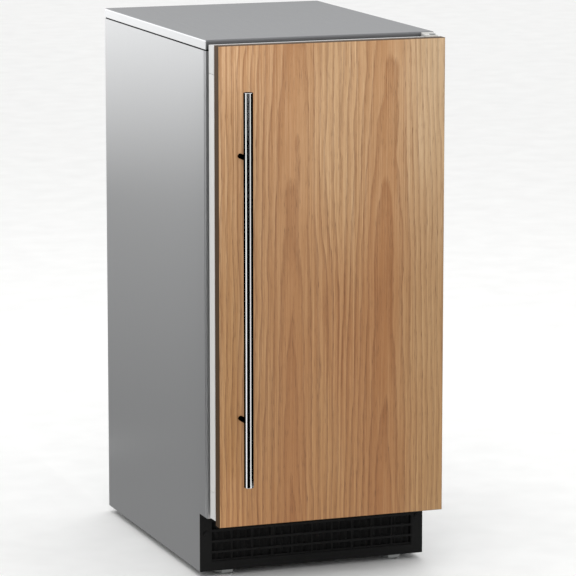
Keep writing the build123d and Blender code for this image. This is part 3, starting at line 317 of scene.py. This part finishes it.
def clearPlastic():
    # translucent polycarbonate of the scoop, the lamp and the flap: milky, smooth
    material, shader = startMaterial("clearPolycarbonate", clear["colour"], clear["roughness"])
    shader.inputs["Transmission Weight"].default_value = clear["transmission"]
    shader.inputs["IOR"].default_value = clear["ior"]
    cloud = addNode(material, "ShaderNodeTexNoise", [
        ("Vector", objectPattern(material, (clear["cloud"],) * 3)), ("Scale", 1.0),
        ("Detail", 2.0)])
    rough = addNode(material, "ShaderNodeMapRange", [
        ("Value", cloud.outputs["Fac"]), ("To Min", clear["smoothest"]),
        ("To Max", clear["roughest"])])
    link(material, rough.outputs[0], shader.inputs["Roughness"])
    return material


# on one brushed steel, the top colour is painted shade and the flange colour painted light
lid = {"top": "#77787a", "flange": "#c6c7c8", "roughness": 0.4, "flangeDepth": 1.2 * mm}


def paintFlangeLight(material):
    # painted light: the two side flanges of the lid are painted brighter than its top and front
    # flange, which are painted darker as shade; the sheet is one brushed steel
    axes = objectAxes(material)
    fromMiddle = addNode(material, "ShaderNodeMath", [(0, axes["X"])], operation="ABSOLUTE")
    outer = addNode(material, "ShaderNodeMath", [
        (0, fromMiddle.outputs[0]), (1, lidHigh[0] - lid["flangeDepth"])],
        operation="GREATER_THAN")
    under = addNode(material, "ShaderNodeMath", [
        (0, axes["Z"]), (1, lidHigh[2] - lid["flangeDepth"])], operation="LESS_THAN")
    both = addNode(material, "ShaderNodeMath", [
        (0, outer.outputs[0]), (1, under.outputs[0])], operation="MULTIPLY")
    tone = mixColour(material, both.outputs[0], linear(lid["top"]), linear(lid["flange"]))
    link(material, tone, material.node_tree.nodes["Principled BSDF"].inputs["Base Color"])


# for each slot: name, colour, roughness, grain, depth of grain, metallic and coat
finishes = {
    "oak": lacqueredOak(),
    "brushed_steel": brushedSteel("brushedStainless", "#b4b5b6", 0.34),
    "galvanised_steel": moulded("galvanisedSheet", "#a6aaad", 0.42, 4 * mm, 0.03 * mm, 1.0),
    "chrome_steel": moulded("polishedStainless", "#f3f4f5", 0.07, 2 * mm, 0.003 * mm, 1.0),
    "zinc_steel": moulded("zincPlate", "#9fa1a0", 0.36, 1 * mm, 0.03 * mm, 1.0),
    "white_steel": moulded("whiteEnamel", "#d9d8d5", 0.34, 1.5 * mm, 0.02 * mm, coat=0.2),
    "white_plastic": moulded("whiteAbs", "#d6d6d4", 0.4),
    "foam": moulded("polyurethaneFoam", "#d9c88f", 0.9, 2 * mm, 0.6 * mm),
    "gasket_rubber": moulded("blackVinyl", "#0c0c0c", 0.7, specular=0.12),
    "black_steel": moulded("blackPowderCoat", "#090909", 0.55, 0.7 * mm, 0.06 * mm,
                           specular=0.2),
    "grey_plastic": moulded("greyPolypropylene", "#8f9498", 0.5),
    "black_plastic": moulded("blackNylon", "#191a1b", 0.5),
    "clear_plastic": clearPlastic(),
    "copper": moulded("bareCopper", "#c77f56", 0.3, 1 * mm, 0.02 * mm, 1.0),
    "aluminium": moulded("finAluminium", "#b9bcbf", 0.35, 1 * mm, 0.03 * mm, 1.0),
}
# the lid's darker base colour is painted shade, and its side flanges get painted light below
lidSteel = brushedSteel("brushedStainlessLid", lid["top"], lid["roughness"], "y")
paintFlangeLight(lidSteel)
slotOf = {entry["node"]: entry["material_slot"] for entry in frame["record"]["subparts"]}
for nodeName, nodeObject in frame["nodes"].items():
    mesh = nodeObject.data
    mesh.materials.clear()
    mesh.materials.append(lidSteel if nodeName == "top_cover" else finishes[slotOf[nodeName]])
print("stage: materials given to the frame's own parts")


def newObject(name, form, material):
    # a mesh at the origin with its material
    mesh = bpy.data.meshes.new(name)
    form.to_mesh(mesh)
    form.free()
    mesh.materials.append(material)
    made = bpy.data.objects.new(name, mesh)
    bpy.context.scene.collection.objects.link(made)
    return made


def newPiece(name, form, material, body):
    # a finished piece of the ice maker, riding on a body
    bmesh.ops.recalc_face_normals(form, faces=form.faces)
    piece = newObject(name, form, material)
    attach(piece, body)


# the filter's near-black colour is painted shade for the dark space behind the grille
dustFilter = {"gap": 4.5 * mm, "depth": 5 * mm, "pleat": 6 * mm, "thickness": 1 * mm,
              "inset": 16 * mm, "low": 6 * mm, "high": 4 * mm, "colour": "#070707",
              "roughness": 0.95, "grain": 1.2 * mm, "grainDepth": 0.3 * mm}


def makeDustFilter():
    # pleated filter mat that hangs behind the toe-kick grille, coloured near black as painted
    # shade, so that the view through the grille is dark
    width = 2 * (kickHigh[0] - dustFilter["inset"])
    low, high = kickLow[2] + dustFilter["low"], kickHigh[2] - dustFilter["high"]
    count = int(width / dustFilter["pleat"])
    form = bmesh.new()
    bmesh.ops.create_grid(form, x_segments=count, y_segments=2, size=0.5)
    bmesh.ops.rotate(form, verts=form.verts, matrix=Matrix.Rotation(pi / 2, 3, "X"))
    bmesh.ops.scale(form, verts=form.verts, vec=(width, 1, high - low))
    for vert in form.verts:
        fold = round((vert.co.x / width + 0.5) * count) % 2
        vert.co.y = fold * dustFilter["depth"]
    bmesh.ops.translate(form, verts=form.verts, vec=(
        0, kickHigh[1] + dustFilter["gap"], (low + high) / 2))
    bmesh.ops.solidify(form, geom=form.faces, thickness=dustFilter["thickness"])
    foam = moulded("shadeBlackFilterFoam", dustFilter["colour"], dustFilter["roughness"],
                   dustFilter["grain"], dustFilter["grainDepth"])
    newPiece("dust_filter", form, foam, "cabinet")


makeDustFilter()
print("stage: dust filter made")

studio = {"floorColour": "#fbfbfa", "floorSize": 80.0, "floorRoughness": 0.7,
          "floorGrain": 3 * mm, "floorGrainDepth": 0.01 * mm, "worldTop": "#ffffff",
          "worldSide": "#f2f3f4", "worldStrength": 1.0, "lens": 231.06, "sensor": 36.0,
          "clipEnd": 100, "cameraPlace": (-1.994, -5.5618, 1.4724),
          "cameraLook": (0.33565, 0.92569, -0.17451)}

# place, aim, size and power of each light
lights = {"keyFront": ((-0.7, -2.3, 3.1), (0, 0, 0.8), (1.6, 1.6), 23.5),
          "topSoft": ((0.6, 1.6, 3.0), (0, 0, 0.8), (2.0, 2.0), 12)}

# angles are degrees from the camera's direction, seen from the bar; a side has two and a distance
flags = {"near": 0.55, "far": 8.5, "angles": (-40.0, 36.0), "overFloor": 2 * mm,
         "sides": {"sideFlagLeft": (-124.0, -72.0, 0.25), "sideFlagRight": (60.0, 118.0, 0.8)},
         "panelReach": 0.34, "panelGap": 1 * mm}

# tones are the light that the cove gives off at parts of its height
cove = {"distance": 0.75, "width": 1.1, "height": 1.9, "right": 0.25, "overFloor": 3 * mm,
        "tones": [(0.0, 0.36), (0.25, 0.56), (0.5, 2.1)]}


def stagePiece(name, form, material):
    # part of the studio, which rides on no body of the ice maker
    piece = newObject(name, form, material)
    return piece


def makeFloor():
    form = bmesh.new()
    bmesh.ops.create_grid(form, x_segments=1, y_segments=1, size=studio["floorSize"] / 2)
    stagePiece("studioFloor", form, moulded(
        "paleFloor", studio["floorColour"], studio["floorRoughness"], studio["floorGrain"],
        studio["floorGrainDepth"]))


def glossCard(name, corners, material):
    # card that only polished metal sees, so it shapes the reflections and nothing else
    form = bmesh.new()
    form.faces.new([form.verts.new(corner) for corner in corners])
    card = stagePiece(name, form, material)
    card.visible_camera = card.visible_diffuse = card.visible_shadow = False
    card.visible_transmission = False


def oneSidedBlack():
    # black on its front and clear from behind, so a card close to the wood leaves it alone
    material, shader = startMaterial("flagBlack", "#000000", 1.0)
    shader.inputs["Specular IOR Level"].default_value = 0.0
    facing = addNode(material, "ShaderNodeNewGeometry")
    seeThrough = addNode(material, "ShaderNodeBsdfTransparent")
    both = addNode(material, "ShaderNodeMixShader", [
        (0, facing.outputs["Backfacing"]), (1, shader.outputs[0]), (2, seeThrough.outputs[0])])
    link(material, both.outputs[0], material.node_tree.nodes["Material Output"].inputs["Surface"])
    return material


def turned(direction, degrees):
    return Matrix.Rotation(radians(degrees), 3, "Z") @ direction


def makeFlags():
    # black cards around the cabinet put the dark lines in the chrome bar
    toCamera = Vector((-studio["cameraLook"][0], -studio["cameraLook"][1], 0)).normalized()
    black = oneSidedBlack()
    left, right = (turned(toCamera, angle) for angle in flags["angles"])
    near, far = flags["near"], flags["far"]
    start = Vector(((handleLow[0] + handleHigh[0]) / 2, (handleLow[1] + handleHigh[1]) / 2,
                    flags["overFloor"]))
    glossCard("floorFlag", [start + left * near, start + left * far, start + right * far,
                            start + right * near], black)
    # no higher than the bar, so that the lid never mirrors them
    rise = Vector((0, 0, handleHigh[2]))
    for name, (low, high, distance) in flags["sides"].items():
        first, last = (start + turned(toCamera, angle) * distance for angle in (high, low))
        glossCard(name, [first, last, last + rise, first + rise], black)
    front = panelLow[1] - flags["panelGap"]
    xLow, xHigh = panelLow[0], start[0] + flags["panelReach"]
    glossCard("panelFlag", [(xLow, front, panelLow[2]), (xHigh, front, panelLow[2]),
                            (xHigh, front, panelHigh[2]), (xLow, front, panelHigh[2])], black)


def makeCove():
    # grey card beside the cabinet that grows lighter upwards, and its foot along the floor
    material, shader = startMaterial("coveGradient", "#000000", 1.0)
    level = addNode(material, "ShaderNodeMapRange", [
        ("Value", objectAxes(material)["Z"]), ("From Max", cove["height"])])
    tone = ramp(material, level.outputs[0], cove["tones"])
    link(material, tone, shader.inputs["Emission Color"])
    shader.inputs["Emission Strength"].default_value = 1.0
    look = Vector(studio["cameraLook"])
    away = Vector((-look[0], look[1], 0)).normalized()
    across = Vector((-away[1], away[0], 0)) * cove["width"]
    foot = Vector((sideLow[0], (sideLow[1] + sideHigh[1]) / 2, cove["overFloor"]))
    back = foot + away * cove["distance"]
    rise = Vector((0, 0, cove["height"]))
    right = back - across * cove["right"]
    glossCard("coveWall", [right, back + across, back + across + rise, right + rise], material)
    footLeft = foot[0] - cove["width"]
    glossCard("coveFoot", [(foot[0], sideLow[1], foot[2]), (foot[0], back[1], foot[2]),
                           (footLeft, back[1], foot[2]), (footLeft, sideLow[1], foot[2])],
              material)


def makeWorld():
    # a white room: bright above, a little greyer towards the sides
    world = bpy.data.worlds.new("studioRoom")
    bpy.context.scene.world = world
    world.use_nodes = True
    background = world.node_tree.nodes["Background"]
    background.inputs["Strength"].default_value = studio["worldStrength"]
    place = addNode(world, "ShaderNodeTexCoord")
    parts = addNode(world, "ShaderNodeSeparateXYZ", [("Vector", place.outputs["Generated"])])
    sky = ramp(world, parts.outputs["Z"], [(0.0, studio["worldSide"]), (0.6, studio["worldTop"])])
    link(world, sky, background.inputs["Color"])


def areaLight(name, place, aim, size, power):
    light = bpy.data.lights.new(name, "AREA")
    light.shape = "RECTANGLE"
    light.size, light.size_y = size
    light.energy = power
    lamp = bpy.data.objects.new(name, light)
    bpy.context.scene.collection.objects.link(lamp)
    turn = (Vector(aim) - Vector(place)).to_track_quat("-Z", "Y")
    lamp.visible_camera = False
    lamp.matrix_world = Matrix.Translation(place) @ turn.to_matrix().to_4x4()


def makeCamera():
    data = bpy.data.cameras.new("productCamera")
    data.lens = studio["lens"]
    data.sensor_width = studio["sensor"]
    data.clip_end = studio["clipEnd"]
    camera = bpy.data.objects.new("productCamera", data)
    bpy.context.scene.collection.objects.link(camera)
    turn = Vector(studio["cameraLook"]).to_track_quat("-Z", "Y")
    camera.matrix_world = Matrix.Translation(studio["cameraPlace"]) @ turn.to_matrix().to_4x4()
    bpy.context.scene.camera = camera


makeFloor()
makeFlags()
makeCove()
makeWorld()
for lightName, lightValues in lights.items():
    areaLight(lightName, *lightValues)
makeCamera()
bpy.context.scene.view_settings.view_transform = "Standard"
print("stage: studio set up")
